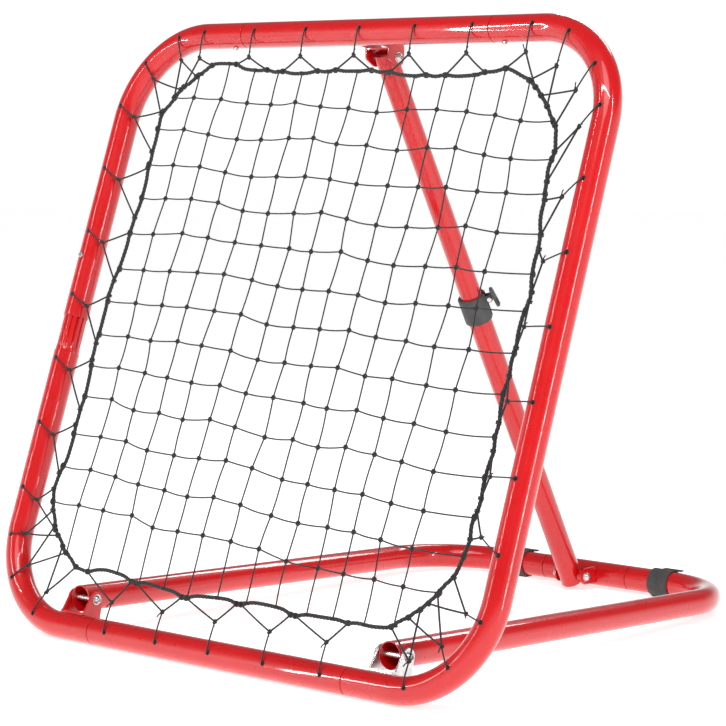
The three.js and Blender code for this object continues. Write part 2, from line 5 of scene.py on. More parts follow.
import bmesh
import bpy
import numpy as np
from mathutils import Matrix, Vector


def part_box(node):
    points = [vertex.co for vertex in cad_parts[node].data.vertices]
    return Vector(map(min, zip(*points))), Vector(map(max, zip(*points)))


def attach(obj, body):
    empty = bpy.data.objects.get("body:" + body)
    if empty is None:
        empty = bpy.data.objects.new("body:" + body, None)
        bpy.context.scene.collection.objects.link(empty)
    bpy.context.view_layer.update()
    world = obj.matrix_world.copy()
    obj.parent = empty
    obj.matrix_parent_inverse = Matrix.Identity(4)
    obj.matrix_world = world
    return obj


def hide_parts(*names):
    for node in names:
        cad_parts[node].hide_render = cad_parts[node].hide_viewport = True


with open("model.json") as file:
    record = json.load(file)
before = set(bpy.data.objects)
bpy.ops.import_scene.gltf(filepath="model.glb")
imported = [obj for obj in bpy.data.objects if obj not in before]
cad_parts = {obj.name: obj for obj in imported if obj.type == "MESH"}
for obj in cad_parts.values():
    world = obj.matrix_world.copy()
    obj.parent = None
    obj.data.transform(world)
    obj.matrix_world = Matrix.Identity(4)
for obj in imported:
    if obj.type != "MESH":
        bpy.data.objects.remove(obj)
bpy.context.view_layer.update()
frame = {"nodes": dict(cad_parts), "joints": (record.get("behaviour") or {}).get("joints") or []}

random.seed(7)

# ---------------------------------------------------------------- sizes, in metres
TUBE_R = 0.017
WALL = 0.0015
FRAME = 0.806          # frame, tube centre to tube centre
HALF = FRAME / 2
BEND = 0.120
LEAN = math.radians(20)
TOP_JOINT = 0.209
BOTTOM_JOINT = 0.217
CRIMP = (0.358, 0.406)
SEAM = 0.0009
ARM_X = 0.264
ARM_LENGTH = 0.732
REAR_JOINTS = (-0.068, 0.078)
SPIGOT = 0.038          # how far a reduced tube end reaches into its neighbour
SPIGOT_R = 0.0151
STRUT_OUTER = (0.016, 0.001)      # radius and wall
STRUT_INNER = (0.0147, 0.0012)
STRUT_TAIL = 0.011                # tube past the rear pivot
STRUT_TIP = 0.008                 # tube past the top pivot
STRUT_OUTER_TOP = 0.461           # heights along the strut from the rear pivot
STRUT_INNER_FOOT = 0.33
LEVER_TOP = 0.456
LACE_HOLE_R = 0.0026
NET_Y = -0.008
NET_KNOTS = 13          # knots along each side of the net, and its corner knots' places (x, z)
NET_LOW_LEFT = Vector((-0.297, 0.155))
NET_LOW_RIGHT = Vector((0.272, 0.115))
NET_HIGH_LEFT = Vector((-0.273, 0.714))
NET_HIGH_RIGHT = Vector((0.289, 0.690))
KNOT_DRIFT = 0.003
NET_BELLY = 0.004       # how far the middle of the net hangs back
STRAND_R = 0.00095
LACE_R = 0.0012
LACE_LENGTH = 0.034
ROPE_STRAND_R = 0.00155
ROPE_LAY_R = 0.0011     # from the rope's middle to the middle of each of its strands
ROPE_LAY = 0.017        # length of one turn of the strands
BOLT_R = 0.0039
BOLT_HEAD = 0.0052      # height of a bolt's head

LENS, SENSOR = 128.0, 36.0        # millimetres
CAMERA_HEADING = math.radians(41.69)
CAMERA_PITCH = math.radians(5.57)
CAMERA_PLACE = Vector((2.1857, -2.1872, 0.6579))    # from the middle of the bottom tube

# ---------------------------------------------------------------- places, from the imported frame
JOINTS = {joint["name"]: joint for joint in frame["joints"]}


def middle(node):
    low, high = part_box(node)
    return (Vector(low) + Vector(high)) / 2


BAR = middle("bottom_tube")
REAR = middle("ground_rear_tube")
REAR.x = 0
FRONT_PIVOT = Vector(JOINTS["frame_recline"]["pos_m"])
REAR_PIVOT = Vector(JOINTS["strut_swing"]["pos_m"])
TOP_PIVOT = middle("top_pivot_bolt")
TOP_PIVOT.x = 0
STRUT_UP = -Vector(JOINTS["strut_slide"]["axis"]).normalized()
STRUT_BACK = STRUT_UP.cross(Vector((1, 0, 0)))

# Axes of the leaning frame: across, towards the back, up the frame.
ACROSS = Vector((1, 0, 0))
BACK = Vector((0, math.cos(LEAN), -math.sin(LEAN)))
UP = Vector((0, math.sin(LEAN), math.cos(LEAN)))

GROUND_TILT = math.asin((FRONT_PIVOT.z - REAR.z) / (REAR.y - FRONT_PIVOT.y))
ARM_BACK = Vector((0, math.cos(GROUND_TILT), -math.sin(GROUND_TILT)))
ARM_UP = Vector((0, math.sin(GROUND_TILT), math.cos(GROUND_TILT)))


def on_frame(x, y, z):
    return BAR + ACROSS * x + BACK * y + UP * z


def on_ground_frame(x, y, z=0.0):
    return REAR + ACROSS * x + ARM_BACK * y + ARM_UP * z


def on_strut(x, y, z):
    return REAR_PIVOT + ACROSS * x + STRUT_BACK * y + STRUT_UP * z


# ---------------------------------------------------------------- materials
class Nodes:
    """A small helper for a material's node tree."""

    def __init__(self, name, color, roughness, metallic=0.0):
        self.material = bpy.data.materials.new(name)
        self.material.use_nodes = True
        self.tree = self.material.node_tree
        self.shader = self.tree.nodes["Principled BSDF"]
        self.shader.inputs["Base Color"].default_value = (*color, 1)
        self.shader.inputs["Roughness"].default_value = roughness
        self.shader.inputs["Metallic"].default_value = metallic
        self.place = self.tree.nodes.new("ShaderNodeTexCoord").outputs["Object"]

    def link(self, start, end):
        self.tree.links.new(start, end)

    def noise(self, scale, detail=3.0, stretch=(1, 1, 1)):
        mapping = self.tree.nodes.new("ShaderNodeMapping")
        mapping.inputs["Scale"].default_value = stretch
        self.link(self.place, mapping.inputs["Vector"])
        texture = self.tree.nodes.new("ShaderNodeTexNoise")
        texture.inputs["Scale"].default_value = scale
        texture.inputs["Detail"].default_value = detail
        self.link(mapping.outputs["Vector"], texture.inputs["Vector"])
        return texture.outputs["Fac"]

    def ramp(self, value, stops):
        ramp = self.tree.nodes.new("ShaderNodeValToRGB")
        ramp.color_ramp.elements[0].position = stops[0][0]
        ramp.color_ramp.elements[0].color = (*stops[0][1], 1)
        ramp.color_ramp.elements[1].position = stops[-1][0]
        ramp.color_ramp.elements[1].color = (*stops[-1][1], 1)
        for position, color in stops[1:-1]:
            ramp.color_ramp.elements.new(position).color = (*color, 1)
        self.link(value, ramp.inputs["Fac"])
        return ramp.outputs["Color"]

    def spread(self, value, low, high):
        fit = self.tree.nodes.new("ShaderNodeMapRange")
        fit.inputs["From Min"].default_value = 0.3
        fit.inputs["From Max"].default_value = 0.7
        fit.inputs["To Min"].default_value = low
        fit.inputs["To Max"].default_value = high
        self.link(value, fit.inputs["Value"])
        return fit.outputs["Result"]

    def color(self, value, dark, light):
        self.link(self.ramp(value, [(0.3, dark), (0.7, light)]), self.shader.inputs["Base Color"])

    def roughness(self, value, low, high):
        self.link(self.spread(value, low, high), self.shader.inputs["Roughness"])

    def bump(self, value, strength, distance):
        bump = self.tree.nodes.new("ShaderNodeBump")
        bump.inputs["Strength"].default_value = strength
        bump.inputs["Distance"].default_value = distance
        self.link(value, bump.inputs["Height"])
        self.link(bump.outputs["Normal"], self.shader.inputs["Normal"])


def red_powder_coat():
    nodes = Nodes("red_powder_coat", (0.60, 0.003, 0.005), 0.3)
    nodes.color(nodes.noise(9, 2), (0.56, 0.002, 0.004), (0.63, 0.005, 0.007))
    nodes.roughness(nodes.noise(38, 4), 0.24, 0.36)
    nodes.bump(nodes.noise(420, 2), 0.06, 0.0003)
    nodes.shader.inputs["Specular IOR Level"].default_value = 0.25
    nodes.shader.inputs["Coat Weight"].default_value = 1.0
    nodes.shader.inputs["Coat Roughness"].default_value = 0.04
    return nodes.material


def zinc_plate():
    nodes = Nodes("zinc_plate", (0.72, 0.73, 0.75), 0.28, 1.0)
    nodes.color(nodes.noise(120, 4), (0.60, 0.61, 0.62), (0.80, 0.80, 0.79))
    nodes.roughness(nodes.noise(260, 5), 0.20, 0.42)
    nodes.bump(nodes.noise(900, 3), 0.12, 0.0002)
    return nodes.material


def black_rubber():
    nodes = Nodes("black_rubber", (0.05, 0.05, 0.05), 0.75)
    nodes.color(nodes.noise(70, 5), (0.040, 0.040, 0.041), (0.066, 0.066, 0.066))
    nodes.roughness(nodes.noise(150, 3), 0.62, 0.85)
    nodes.bump(nodes.noise(1400, 3), 0.35, 0.0003)
    return nodes.material


def black_plastic():
    nodes = Nodes("black_plastic", (0.05, 0.05, 0.05), 0.55)
    nodes.color(nodes.noise(90, 4), (0.042, 0.042, 0.043), (0.064, 0.064, 0.066))
    nodes.roughness(nodes.noise(210, 3), 0.46, 0.62)
    nodes.bump(nodes.noise(2100, 2), 0.25, 0.0002)
    return nodes.material


def cord(name, dark, light, fibre):
    nodes = Nodes(name, light, 0.9)
    nodes.color(nodes.noise(fibre / 4, 3), dark, light)
    nodes.roughness(nodes.noise(fibre / 6, 2), 0.78, 0.96)
    nodes.bump(nodes.noise(fibre, 3, (1, 1, 0.35)), 0.6, 0.0005)
    nodes.shader.inputs["Sheen Weight"].default_value = 0.15
    return nodes.material


RED = red_powder_coat()
ZINC = zinc_plate()
RUBBER = black_rubber()
PLASTIC = black_plastic()
NET_CORD = cord("net_cord", (0.010, 0.010, 0.011), (0.026, 0.026, 0.028), 2600)
ROPE_CORD = cord("rope_cord", (0.012, 0.012, 0.013), (0.032, 0.032, 0.034), 1900)


# ---------------------------------------------------------------- mesh helpers
def new_piece(name, verts, faces, material, body, replaces=()):
    mesh = bpy.data.meshes.new(name)
    mesh.from_pydata([tuple(v) for v in verts], [], faces)
    mesh.validate()
    mesh.update()
    piece = bpy.data.objects.new(name, mesh)
    bpy.context.scene.collection.objects.link(piece)
    return dress(piece, material, body, replaces)


def dress(piece, material, body, replaces=()):
    piece.data.materials.clear()
    piece.data.materials.append(material)
    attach(piece, body)
    if replaces:
        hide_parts(*replaces)
    return piece


def smooth(piece, degrees=35):
    for polygon in piece.data.polygons:
        polygon.use_smooth = True
    piece.data.set_sharp_from_angle(angle=math.radians(degrees))


class Buffer:
    """Collects many small closed forms into one mesh."""

    def __init__(self):
        self.verts = []
        self.faces = []

    def tube(self, points, radius, sides=6, closed=False, side_axis=BACK):
        count = len(points)
        start = len(self.verts)
        for i, point in enumerate(points):
            before = points[i - 1] if (i or closed) else points[0]
            after = points[(i + 1) % count] if (i + 1 < count or closed) else points[-1]
            along = (after - before).normalized()
            first = along.cross(side_axis)
            if first.length < 0.2:
                first = along.cross(ACROSS)
            first.normalize()
            second = along.cross(first)
            for k in range(sides):
                angle = 2 * math.pi * k / sides
                self.verts.append(point + (first * math.cos(angle) + second * math.sin(angle)) * radius)
        rows = count if closed else count - 1
        for i in range(rows):
            a, b = start + i * sides, start + (i + 1) % count * sides
            for k in range(sides):
                n = (k + 1) % sides
                self.faces.append((a + k, a + n, b + n, b + k))
        if not closed:
            self.faces.append(tuple(start + k for k in reversed(range(sides))))
            self.faces.append(tuple(start + (count - 1) * sides + k for k in range(sides)))

    def lump(self, centre, sizes, axes, rings=6, sides=9, twist=0.16):
        """A rounded knot body with shallow turns of cord in its surface."""
        start = len(self.verts)
        for i in range(1, rings):
            polar = math.pi * i / rings
            for k in range(sides):
                angle = 2 * math.pi * k / sides
                swell = 1 + twist * math.cos(3 * angle + 2.2 * polar)
                local = (math.sin(polar) * math.cos(angle), math.sin(polar) * math.sin(angle), math.cos(polar))
                offsets = (axes[j] * local[j] * sizes[j] * swell for j in range(3))
                self.verts.append(centre + sum(offsets, Vector()))
        self.verts.append(centre + axes[2] * sizes[2])
        self.verts.append(centre - axes[2] * sizes[2])
        top, bottom = len(self.verts) - 2, len(self.verts) - 1
        for i in range(rings - 2):
            for k in range(sides):
                n = (k + 1) % sides
                a, b = start + i * sides, start + (i + 1) * sides
                self.faces.append((a + k, b + k, b + n, a + n))
        for k in range(sides):
            n = (k + 1) % sides
            last = start + (rings - 2) * sides
            self.faces.append((top, start + k, start + n))
            self.faces.append((bottom, last + n, last + k))

    def hoop(self, centre, first, second, radius, thickness, sides=6, steps=12):
        """A turn of cord round something, in the plane of first and second."""
        turn = [2 * math.pi * i / steps for i in range(steps)]
        points = [centre + (first * math.cos(a) + second * math.sin(a)) * radius for a in turn]
        self.tube(points, thickness, sides, closed=True, side_axis=first.cross(second))

    def piece(self, name, material, body, slot, replaces=()):
        made = new_piece(name, self.verts, self.faces, material, body, replaces)
        for polygon in made.data.polygons:
            polygon.use_smooth = True
        return made


# ---------------------------------------------------------------- tubes
def arc(centre, radius, start, end):
    """Stations (u, v, du, dv) along an arc given in degrees."""
    steps = max(1, round(abs(end - start) / 3))
    sense = 1 if end > start else -1
    stations = []
    for i in range(steps + 1):
        a = math.radians(start + (end - start) * i / steps)
        c, s = math.cos(a), math.sin(a)
        stations.append((centre[0] + radius * c, centre[1] + radius * s, -s * sense, c * sense))
    return stations


def run(start, arcs, end):
    first, last = arcs[0], arcs[-1]
    return [(*start, first[2], first[3]), *arcs, (*end, last[2], last[3])]


def lacing_cutters():
    """One mesh of short cylinders for the lacing holes."""
    buffer = Buffer()
    for x, z, _ in PLACES:
        ends = [on_frame(x, -TUBE_R - 0.007, z), on_frame(x, -TUBE_R + 0.007, z)]
        buffer.tube(ends, LACE_HOLE_R, 20, side_axis=UP)
    mesh = bpy.data.meshes.new("cutters")
    mesh.from_pydata([tuple(v) for v in buffer.verts], [], buffer.faces)
    cutter = bpy.data.objects.new("cutters", mesh)
    bpy.context.scene.collection.objects.link(cutter)
    return cutter


def tube_piece(name, centres, side, node, body, radius=TUBE_R, wall=WALL, cutter=None, sides=64):
    """A smooth hollow tube along the centres, with rolled lips at its ends."""
    count = len(centres)
    tangents = [(centres[min(i + 1, count - 1)] - centres[max(i - 1, 0)]).normalized() for i in range(count)]
    lip = 0.0005
    start, end = tangents[0], tangents[-1]
    rings = [(centres[0], start, radius - lip), (centres[0] + start * lip, start, radius)]
    rings += [(centres[i], tangents[i], radius) for i in range(1, count - 1)]
    rings += [(centres[-1] - end * lip, end, radius), (centres[-1], end, radius - lip)]
    rings += [(centres[i], tangents[i], radius - wall) for i in reversed(range(count))]
    verts, faces = [], []
    for centre, tangent, r in rings:
        first = side
        second = tangent.cross(side).normalized()
        for k in range(sides):
            a = 2 * math.pi * k / sides
            verts.append(centre + (first * math.cos(a) + second * math.sin(a)) * r)
    for i in range(len(rings)):
        a, b = i * sides, (i + 1) % len(rings) * sides
        for k in range(sides):
            n = (k + 1) % sides
            faces.append((a + k, b + k, b + n, a + n))
    piece = new_piece(name, verts, faces, RED, body, [node])
    if cutter:
        cut_with(piece, cutter)
    radial_normals(piece, centres, radius)
    return piece


def cut_with(piece, cutter):
    modifier = piece.modifiers.new("holes", "BOOLEAN")
    modifier.operation = "DIFFERENCE"
    modifier.solver = "EXACT"
    modifier.object = cutter
    bpy.context.view_layer.update()
    evaluated = piece.evaluated_get(bpy.context.evaluated_depsgraph_get())
    cut = bpy.data.meshes.new_from_object(evaluated)
    piece.modifiers.clear()
    old, piece.data = piece.data, cut
    bpy.data.meshes.remove(old)


def radial_normals(piece, centres, radius):
    """Gives the outer wall the normals of a true tube, so that reflections run clean."""
    mesh = piece.data
    for polygon in mesh.polygons:
        polygon.use_smooth = True
    mesh.set_sharp_from_angle(angle=math.radians(40))
    points = np.array([v.co for v in mesh.vertices])
    a = np.array(centres[:-1])
    d = np.array(centres[1:]) - a
    t = np.einsum("ijk,jk->ij", points[:, None] - a, d) / (d * d).sum(1)
    t = np.clip(t, 0, 1)
    nearest = a + t[..., None] * d
    away = points[:, None] - nearest
    best = (away ** 2).sum(2).argmin(1)
    radial = away[np.arange(len(points)), best]
    size = np.linalg.norm(radial, axis=1)
    radial = radial / size[:, None]
    outside = size > radius * 0.985
    normals = [(0.0, 0.0, 0.0)] * len(mesh.loops)
    for polygon in mesh.polygons:
        face = np.array(polygon.normal)
        for loop in polygon.loop_indices:
            v = mesh.loops[loop].vertex_index
            if outside[v] and face @ radial[v] > 0.9:
                normals[loop] = tuple(radial[v])
    mesh.normals_split_custom_set(normals)


def frame_tubes(cutter):
    top, low = FRAME - BEND, BEND
    left, right = -HALF + BEND, HALF - BEND
    runs = {
        "top_tube": [(-TOP_JOINT + SEAM, FRAME), (TOP_JOINT - SEAM, FRAME)],
        "bottom_tube": [(-BOTTOM_JOINT + SEAM, 0), (BOTTOM_JOINT - SEAM, 0)],
        "upper_left_tube": run((-TOP_JOINT, FRAME), arc((left, top), BEND, 90, 180), (-HALF, CRIMP[1])),
        "lower_left_tube": run((-HALF, CRIMP[0]), arc((left, low), BEND, 180, 270), (-BOTTOM_JOINT, 0)),
        "right_side_tube": run((TOP_JOINT, FRAME),
                               arc((right, top), BEND, 90, 0) + arc((right, low), BEND, 0, -90),
                               (BOTTOM_JOINT, 0)),
    }
    for node, stations in runs.items():
        centres = [on_frame(s[0], 0, s[1]) for s in stations]
        if len(centres) == 2:
            centres = [centres[0].lerp(centres[1], i / 8) for i in range(9)]
        tube_piece(node + "_skin", centres, BACK, node, "main_frame", cutter=cutter)


def ground_tubes():
    inner = ARM_X - BEND
    left, right = REAR_JOINTS
    runs = {
        "ground_left_tube": run((-ARM_X, -ARM_LENGTH), arc((-inner, -BEND), BEND, 180, 90), (left, 0)),
        "ground_right_tube": run((ARM_X, -ARM_LENGTH), arc((inner, -BEND), BEND, 0, 90), (right, 0)),
        "ground_rear_tube": [(left + SEAM, 0), (right - SEAM, 0)],
    }
    for node, stations in runs.items():
        centres = [on_ground_frame(s[0], s[1]) for s in stations]
        tube_piece(node + "_skin", centres, ARM_UP, node, "ground_frame")


def strut_tubes():
    tip = (TOP_PIVOT - REAR_PIVOT).length + STRUT_TIP
    for half, low, high, size in (("lower", -STRUT_TAIL, STRUT_OUTER_TOP, STRUT_OUTER),
                                  ("upper", STRUT_INNER_FOOT, tip, STRUT_INNER)):
        body = "strut_" + half
        centres = [on_strut(0, 0, low), on_strut(0, 0, high)]
        tube_piece(body + "_skin", centres, ACROSS, body + "_tube", body, *size)


def spigots():
    """Reduced tube ends inside the joints, seen only in the seams."""
    buffer = Buffer()
    for x, z in ((-TOP_JOINT, FRAME), (TOP_JOINT, FRAME), (-BOTTOM_JOINT, 0), (BOTTOM_JOINT, 0)):
        ends = [on_frame(x - SPIGOT, 0, z), on_frame(x + SPIGOT, 0, z)]
        buffer.tube(ends, SPIGOT_R, 32, side_axis=UP)
    smooth(buffer.piece("frame_spigots", RED, "main_frame", "red_powder_coat"))
    rear = Buffer()
    for x in REAR_JOINTS:
        ends = [on_ground_frame(x - SPIGOT, 0), on_ground_frame(x + SPIGOT, 0)]
        rear.tube(ends, SPIGOT_R, 32, side_axis=ARM_UP)
    smooth(rear.piece("rear_spigots", RED, "ground_frame", "red_powder_coat"))


def crimped_end():
    """The exposed fluted tube end between the two left tubes."""
    sides, flutes = 120, 12
    full_r, taper, groove_depth = 0.0163, 0.0009, 0.0021
    heights = [-0.003, 0.0, 0.002, 0.005, 0.008, 0.016, 0.030, 0.046, 0.060]
    depths = [0.0, 0.0, 0.0, 0.25, 0.7, 1.0, 1.0, 1.0, 1.0]      # share of the full crimp at each height
    verts, faces = [], []
    for height, deep in zip(heights, depths):
        base = full_r - taper * min(1, deep * 1.4)
        for k in range(sides):
            a = 2 * math.pi * k / sides
            r = base - groove_depth * deep * max(0.0, math.cos(flutes * a)) ** 3
            verts.append(on_frame(-HALF + r * math.cos(a), r * math.sin(a), CRIMP[0] + height))
    for i in range(len(heights) - 1):
        for k in range(sides):
            n = (k + 1) % sides
            faces.append((i * sides + k, i * sides + n, (i + 1) * sides + n, (i + 1) * sides + k))
    last = (len(heights) - 1) * sides
    faces.append(tuple(reversed(range(sides))))
    faces.append(tuple(last + k for k in range(sides)))
    smooth(new_piece("crimped_end", verts, faces, RED, "main_frame"), 50)


# ---------------------------------------------------------------- lacing places (x, z, towards the net)
def spaced(count, start, end):
    return [start + (end - start) * i / (count - 1) for i in range(count)]


def lacing_places():
    places = [(x, FRAME, (0, -1)) for x in spaced(7, -0.276, 0.276)]
    places += [(x, 0, (0, 1)) for x in spaced(5, -0.184, 0.184)]
    for z in spaced(7, 0.168, 0.702):
        places += [(-HALF, z, (1, 0)), (HALF, z, (-1, 0))]
    corners = [(-1, 1, (19, 50)), (1, 1, (25, 56)), (-1, -1, (19, 53, 82)), (1, -1, (14, 45, 76))]
    for side, up, angles in corners:
        for degrees in angles:
            a = math.radians(degrees)
            out = (side * math.sin(a), up * math.cos(a))
            z = FRAME - BEND if up > 0 else BEND
            places.append((side * (HALF - BEND) + BEND * out[0], z + BEND * out[1], (-out[0], -out[1])))
    return places


PLACES = lacing_places()

# The rope's four corners, each outside the net's corner knot by this much (x, z), and how far each side
# of the rope bows outwards, from the top left corner clockwise.
ROPE_OUTSIDE = ((-0.045, 0.050), (0.042, 0.054), (0.064, -0.040), (-0.050, -0.070))
ROPE_BOWS = (-0.006, 0.022, 0.014, 0.004)
ROPE_WAVE = 0.0035
ROPE_SIDE_POINTS = 9


def rope_course():
    """The border rope's slack course: four bowed, slightly wavy sides with rounded corners (x, z)."""
    knots = (NET_HIGH_LEFT, NET_HIGH_RIGHT, NET_LOW_RIGHT, NET_LOW_LEFT)
    corners = [knot + Vector(outside) for knot, outside in zip(knots, ROPE_OUTSIDE)]
    course = []
    for k, bow in enumerate(ROPE_BOWS):
        start, end = corners[k], corners[(k + 1) % 4]
        along = (end - start).normalized()
        out = Vector((-along.y, along.x))
        for i in range(1, ROPE_SIDE_POINTS + 1):
            t = i / (ROPE_SIDE_POINTS + 1)
            wave = ROPE_WAVE * math.sin(math.pi * (5 * t + 0.7 * k)) * math.sin(math.pi * t)
            course.append(start.lerp(end, t) + out * (bow * math.sin(math.pi * t) + wave))
    return course


# From a hole to its lace's knot, and to the two places on the rope that its legs reach for (x, z).
TOP_LACE = ((-0.006, -0.034), (-0.032, -0.064), (0.030, -0.064))
BOTTOM_LACE = ((-0.008, 0.039), (-0.066, 0.072), (0.018, 0.072))
LEFT_LACE = ((0.025, -0.014), (0.062, 0.004), (0.058, -0.064))
LOWEST_RIGHT_LACE = ((-0.036, 0.019), (-0.070, 0.050), (-0.075, 0.014))
RIGHT_LACE = ((-0.043, 0.0), (-0.060, 0.030), (-0.058, -0.026))
RIGHT_LACE_PULLED = ((0.014, -0.024), (0.0, -0.064), (0.0, -0.050))     # added towards the top
CORNER_LEG = 0.030
CORNER_SPREAD = 0.026
CORNER_DROOP = 0.012


def side_lace(z, inward):
    """The offsets of a lace on one of the frame's straight sides."""
    if inward == (0, -1):
        return TOP_LACE
    if inward == (0, 1):
        return BOTTOM_LACE
    if inward == (1, 0):
        return LEFT_LACE
    if z < 0.2:
        return LOWEST_RIGHT_LACE
    pull = max(0.0, (z - 0.44) / 0.2)
    shares = (min(1, pull), pull, pull)
    return [(x + dx * share, up + dz * share)
            for (x, up), (dx, dz), share in zip(RIGHT_LACE, RIGHT_LACE_PULLED, shares)]


def lace_plan(x, z, inward):
    """Where a lace's knot lies and where its two legs reach for the rope, as (x, z) each."""
    ix, iz = inward
    if ix == 0 or iz == 0:
        return [(x + dx, z + dz) for dx, dz in side_lace(z, inward)]
    droop = CORNER_DROOP if x > 0 and z > HALF else 0.0
    knot_x = x + LACE_LENGTH * ix * (0.6 if x < 0 else 0.9)
    knot_z = z + LACE_LENGTH * iz * 0.95 - droop
    middle_x, middle_z = knot_x + CORNER_LEG * ix, knot_z + CORNER_LEG * iz
    return [(knot_x, knot_z), (middle_x + CORNER_SPREAD * iz, middle_z - CORNER_SPREAD * ix),
            (middle_x - CORNER_SPREAD * iz, middle_z + CORNER_SPREAD * ix)]


def rounded_loop(points, per_span):
    """A closed Catmull-Rom curve through the points."""
    count = len(points)
    loop = []
    for i in range(count):
        p0, p1, p2, p3 = (np.array(points[(i + k - 1) % count]) for k in range(4))
        for step in range(per_span):
            t = step / per_span
            loop.append(0.5 * (2 * p1 + (p2 - p0) * t + (2 * p0 - 5 * p1 + 4 * p2 - p3) * t ** 2
                               + (3 * p1 - p0 - 3 * p2 + p3) * t ** 3))
    return np.array(loop)


def rope_and_legs():
    """The rope's line, pulled out where the legs of the laces hold it, and the places of those legs."""
    loop = rounded_loop(rope_course(), 36)
    step = np.roll(loop, -1, 0) - np.roll(loop, 1, 0)
    step /= np.linalg.norm(step, axis=1)[:, None]
    outward = np.stack([-step[:, 1], step[:, 0]], 1)
    legs = []
    for x, z, inward in PLACES:
        knot, *aims = lace_plan(x, z, inward)
        ends = [int(((loop - np.array(aim)) ** 2).sum(1).argmin()) for aim in aims]
        legs.append((x, z, knot, ends))
    along = np.concatenate([[0], np.cumsum(np.linalg.norm(np.diff(loop, axis=0), axis=1))])
    total = along[-1] + np.linalg.norm(loop[0] - loop[-1])
    slack, tug, reach = -0.0012, 0.0026, 0.012
    pull = np.full(len(loop), slack)
    for *_, ends in legs:
        for end in ends:
            gap = np.abs(along - along[end])
            gap = np.minimum(gap, total - gap)
            pull += tug * np.exp(-(gap / reach) ** 2)
    return loop + outward * pull[:, None], legs, total


def border_rope(loop, total):
    """Three strands laid round each other along the loop."""
    count = len(loop)
    line = [on_frame(x, NET_Y + 0.0012 * math.sin(11 * i * math.pi / count), z)
            for i, (x, z) in enumerate(loop)]
    turns = round(total / ROPE_LAY)
    buffer = Buffer()
    for strand in range(3):
        points = []
        for i, point in enumerate(line):
            along = (line[(i + 1) % count] - line[i - 1]).normalized()
            side = along.cross(BACK).normalized()
            a = 2 * math.pi * (turns * i / count + strand / 3)
            points.append(point + (side * math.cos(a) + BACK * math.sin(a)) * ROPE_LAY_R)
        buffer.tube(points, ROPE_STRAND_R, 8, closed=True)
    return buffer.piece("border_rope", ROPE_CORD, "main_frame", "black_cord", ["border_lacing"])


def bowed(start, end, sag, steps):
    """A line from start to end that bows by sag, a vector, at its middle."""
    return [start.lerp(end, i / steps) + sag * math.sin(math.pi * i / steps) for i in range(steps + 1)]


def laces(loop, legs):
    """Stem, knot with its short tail, two legs and a hitch on the rope, at every hole."""
    buffer = Buffer()
    for x, z, knot, ends in legs:
        tie = on_frame(knot[0], NET_Y - 0.001, knot[1])
        inside = on_frame(x, -0.009, z)
        lip = on_frame(x, -TUBE_R - 0.0022, z)
        over = lip.lerp(tie, 0.12) - BACK * 0.0004
        stem = [inside, on_frame(x, -TUBE_R, z), lip, over, *bowed(over, tie, -BACK * 0.0006, 5)[1:]]
        buffer.tube(stem, STRAND_R, 8)
        buffer.lump(inside, (0.0034, 0.0034, 0.0030), (ACROSS, BACK, UP))
        buffer.hoop(on_frame(x, -TUBE_R + 0.0004, z), ACROSS, UP, LACE_HOLE_R, 0.0008, 6, 16)
        out = (lip - tie).normalized()
        across = out.cross(BACK).normalized()
        buffer.lump(tie, (0.0028, 0.0025, 0.0034), (across, BACK, out), 7, 10)
        buffer.hoop(tie + out * 0.0012, across, BACK, 0.0022, 0.0009)
        lean = random.uniform(-0.5, 0.5)
        tail_end = tie + out * 0.0075 + across * (0.004 if lean > 0 else -0.004) - BACK * 0.003
        buffer.tube(bowed(tie, tail_end, -BACK * 0.0012, 4), 0.0008, 6)
        for end in ends:
            spot = on_frame(loop[end][0], NET_Y, loop[end][1])
            sag = -UP * random.uniform(0.0002, 0.0012)
            buffer.tube(bowed(tie, spot, sag, 7), LACE_R, 8)
            ahead = loop[(end + 3) % len(loop)] - loop[end - 3]
            along = (on_frame(ahead[0], 0, ahead[1]) - BAR).normalized()
            side = along.cross(BACK)
            for shift in (-0.0011, 0.0011):
                buffer.hoop(spot + along * shift, side, BACK, 0.0030, LACE_R * 0.8)
    return buffer.piece("laces", ROPE_CORD, "main_frame", "black_cord")


# ---------------------------------------------------------------- net
def crossings(loop, axis, value):
    """Where the rope's line crosses a line of constant x (axis 0) or z (axis 1)."""
    found = []
    for i in range(len(loop)):
        a, b = loop[i], loop[(i + 1) % len(loop)]
        if (a[axis] - value) * (b[axis] - value) < 0:
            t = (value - a[axis]) / (b[axis] - a[axis])
            found.append(a[1 - axis] + t * (b[1 - axis] - a[1 - axis]))
    return min(found), max(found)


